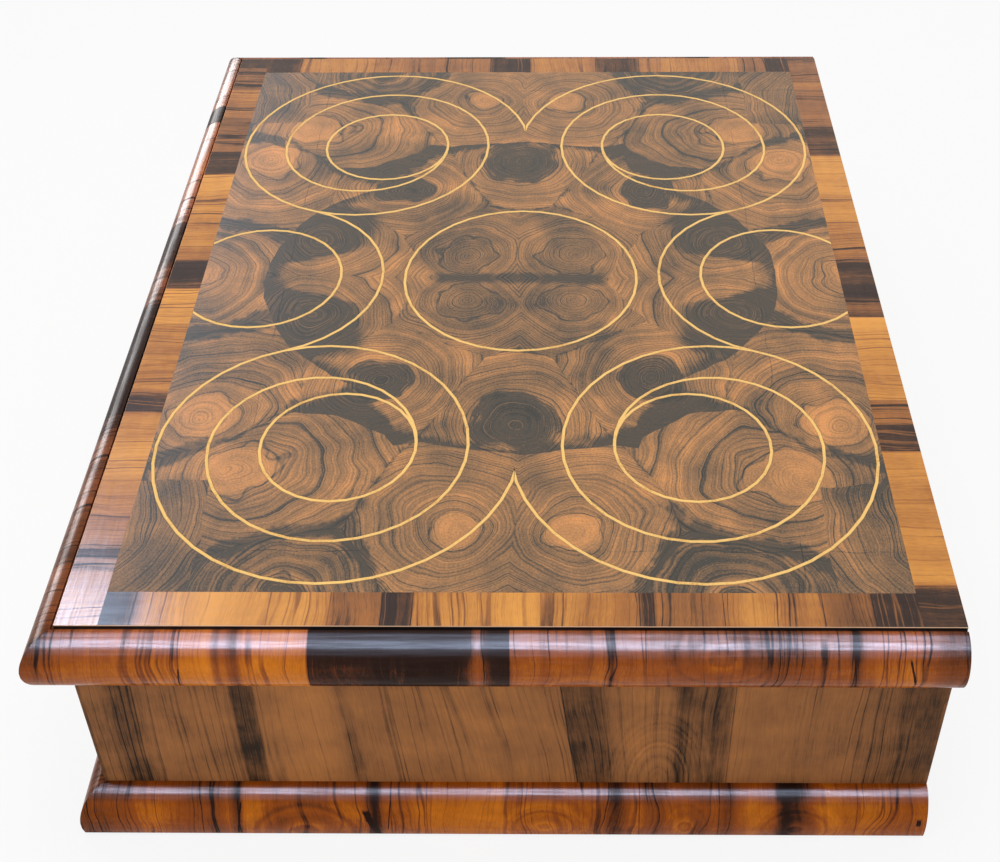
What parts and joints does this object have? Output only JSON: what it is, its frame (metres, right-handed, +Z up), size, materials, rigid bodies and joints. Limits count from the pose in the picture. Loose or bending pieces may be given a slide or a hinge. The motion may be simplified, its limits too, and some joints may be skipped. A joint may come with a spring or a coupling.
{
  "type": "lace box",
  "caption": "Shallow rectangular veneered wooden box with a flat hinged lid, cushion mouldings round lid and base, inlaid lid, lock and key.",
  "frame": {"origin": "centre of the underside of the case, on the baize; the case's centre in X and the lid board's centre in Y", "axes": "+X along the length towards the right-hand end, +Y towards the hinged back, +Z up"},
  "size_m": [0.5582, 0.4398, 0.15],
  "materials": {
    "carcase": "planed oak, unpolished",
    "oyster": "polished oyster veneer",
    "crossband": "polished cross-cut olive wood",
    "boxwood": "polished boxwood line",
    "moulding": "polished cross-grain moulding",
    "side_veneer": "waxed veneer",
    "lining": "matt",
    "baize": "felted",
    "brass": "aged",
    "iron": "dark, oiled"
  },
  "bodies": {
    "case": {"back_board": "carcase", "back_veneer": "side_veneer", "baize": "baize", "bottom_board": "carcase", "case_lining": "lining", "escutcheon": "brass", "escutcheon_pin_1": "brass", "escutcheon_pin_2": "brass", "front_base_moulding": "moulding", "front_board": "carcase", "front_veneer": "side_veneer", "left_base_moulding": "moulding", "left_end_board": "carcase", "left_end_veneer": "side_veneer", "left_hinge_case_leaf": "brass", "left_hinge_case_screw_1": "brass", "left_hinge_case_screw_2": "brass", "left_hinge_pin": "iron", "lock_case": "iron", "lock_screw_1": "iron", "lock_screw_2": "iron", "right_base_moulding": "moulding", "right_end_board": "carcase", "right_end_veneer": "side_veneer", "right_hinge_case_leaf": "brass", "right_hinge_case_screw_1": "brass", "right_hinge_case_screw_2": "brass", "right_hinge_pin": "iron"},
    "lid": {"back_bow_string": "boxwood", "back_crossband": "crossband", "back_ring_string": "boxwood", "centre_ring_string": "boxwood", "front_bow_string": "boxwood", "front_crossband": "crossband", "front_lid_moulding": "moulding", "front_ring_string": "boxwood", "left_back_scroll_string": "boxwood", "left_crossband": "crossband", "left_front_scroll_string": "boxwood", "left_hinge_lid_leaf": "brass", "left_hinge_lid_screw_1": "brass", "left_hinge_lid_screw_2": "brass", "left_lid_clamp": "carcase", "left_lid_moulding": "moulding", "lid_board": "carcase", "lid_lining": "lining", "link_plate": "iron", "link_plate_screw_1": "iron", "link_plate_screw_2": "iron", "oyster_field": "oyster", "right_back_scroll_string": "boxwood", "right_crossband": "crossband", "right_front_scroll_string": "boxwood", "right_hinge_lid_leaf": "brass", "right_hinge_lid_screw_1": "brass", "right_hinge_lid_screw_2": "brass", "right_lid_clamp": "carcase", "right_lid_moulding": "moulding"},
    "bolt": {"lock_bolt": "iron"},
    "key": {"key": "iron"}
  },
  "joints": [
    {"name": "lid_hinge", "type": "hinge", "parent": "case", "child": "lid", "pos_m": [0, 0.202, 0.13035], "axis": [-1, 0, 0], "range_deg": [0, 100]},
    {"name": "key_turn", "type": "hinge", "parent": "case", "child": "key", "pos_m": [0, -0.2, 0.106], "axis": [0, 1, 0], "range_deg": [0, 360]},
    {"name": "bolt_slide", "type": "slide", "parent": "case", "child": "bolt", "axis": [1, 0, 0], "range_m": [0, 0.008]}
  ],
  "couplings": [
    {"joint": "bolt_slide", "follows": "key_turn", "m_per_rad": 0.001273}
  ]
}
